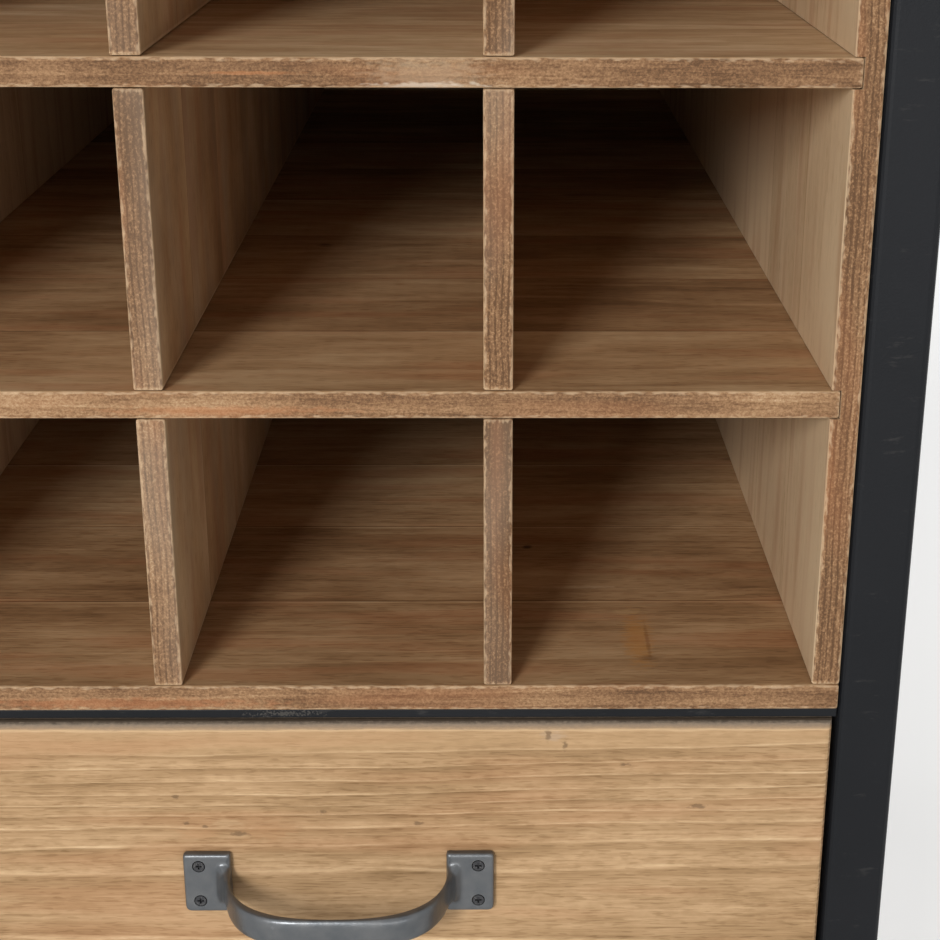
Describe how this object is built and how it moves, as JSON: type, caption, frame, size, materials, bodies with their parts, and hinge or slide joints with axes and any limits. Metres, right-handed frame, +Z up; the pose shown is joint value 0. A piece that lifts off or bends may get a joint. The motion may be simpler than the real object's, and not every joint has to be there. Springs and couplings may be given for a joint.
{
  "type": "bar cabinet",
  "caption": "Slim, deep bar cabinet: a lattice of fir bottle cubbies over one drawer with a cast bridge pull, in a black square-tube frame under a wooden worktop.",
  "frame": {"origin": "on the floor, under the middle of the bounding box with its pull", "axes": "+Z up, the front faces -Y, +X to the right as seen from the front"},
  "size_m": [0.379, 0.633, 0.8022],
  "materials": {
    "brown_fir": "brown stained fir, rough sawn edges, open pores, matt",
    "honey_fir": "honey fir, brushed grain, worn arrises, waxed matt",
    "pale_wood": "plain unfinished softwood and plywood",
    "black_steel": "black powder coat, fine satin texture",
    "cast_iron": "dark grey satin, soft cast edges, edges rubbed bright",
    "black_screw": "blackened steel",
    "black_plastic": "moulded matt"
  },
  "bodies": {
    "cabinet": {"post_front_left": "black_steel", "post_front_right": "black_steel", "post_rear_left": "black_steel", "post_rear_right": "black_steel", "glide_front_left": "black_plastic", "glide_front_right": "black_plastic", "glide_rear_left": "black_plastic", "glide_rear_right": "black_plastic", "top_rail_front": "black_steel", "top_rail_rear": "black_steel", "top_rail_left": "black_steel", "top_rail_right": "black_steel", "bottom_rail_front": "black_steel", "bottom_rail_rear": "black_steel", "bottom_rail_left": "black_steel", "bottom_rail_right": "black_steel", "rack_bar_front": "black_steel", "rack_bar_rear": "black_steel", "rack_bar_left": "black_steel", "rack_bar_right": "black_steel", "rack_bottom": "brown_fir", "rack_top": "brown_fir", "rack_back": "pale_wood", "rack_shelf_1": "brown_fir", "rack_shelf_2": "brown_fir", "rack_shelf_3": "brown_fir", "rack_side_left": "brown_fir", "rack_side_right": "brown_fir", "rack_divider_1_1": "brown_fir", "rack_divider_1_2": "brown_fir", "rack_divider_2_1": "brown_fir", "rack_divider_2_2": "brown_fir", "rack_divider_3_1": "brown_fir", "rack_divider_3_2": "brown_fir", "rack_divider_4_1": "brown_fir", "rack_divider_4_2": "brown_fir", "worktop": "honey_fir", "case_bottom": "brown_fir", "case_back": "pale_wood", "case_side_left": "brown_fir", "case_side_right": "brown_fir", "runner_left": "pale_wood", "runner_right": "pale_wood", "runner_screw_left_1": "black_screw", "runner_screw_left_2": "black_screw", "runner_screw_left_3": "black_screw", "runner_screw_right_1": "black_screw", "runner_screw_right_2": "black_screw", "runner_screw_right_3": "black_screw"},
    "drawer": {"drawer_front": "honey_fir", "drawer_side_left": "pale_wood", "drawer_side_right": "pale_wood", "drawer_back": "pale_wood", "drawer_bottom": "pale_wood", "drawer_pull": "cast_iron", "pull_screw_1": "black_screw", "pull_screw_2": "black_screw", "pull_screw_3": "black_screw", "pull_screw_4": "black_screw"}
  },
  "joints": [
    {"name": "drawer_slide", "type": "slide", "parent": "cabinet", "child": "drawer", "axis": [0, -1, 0], "range_m": [0, 0.4]}
  ]
}
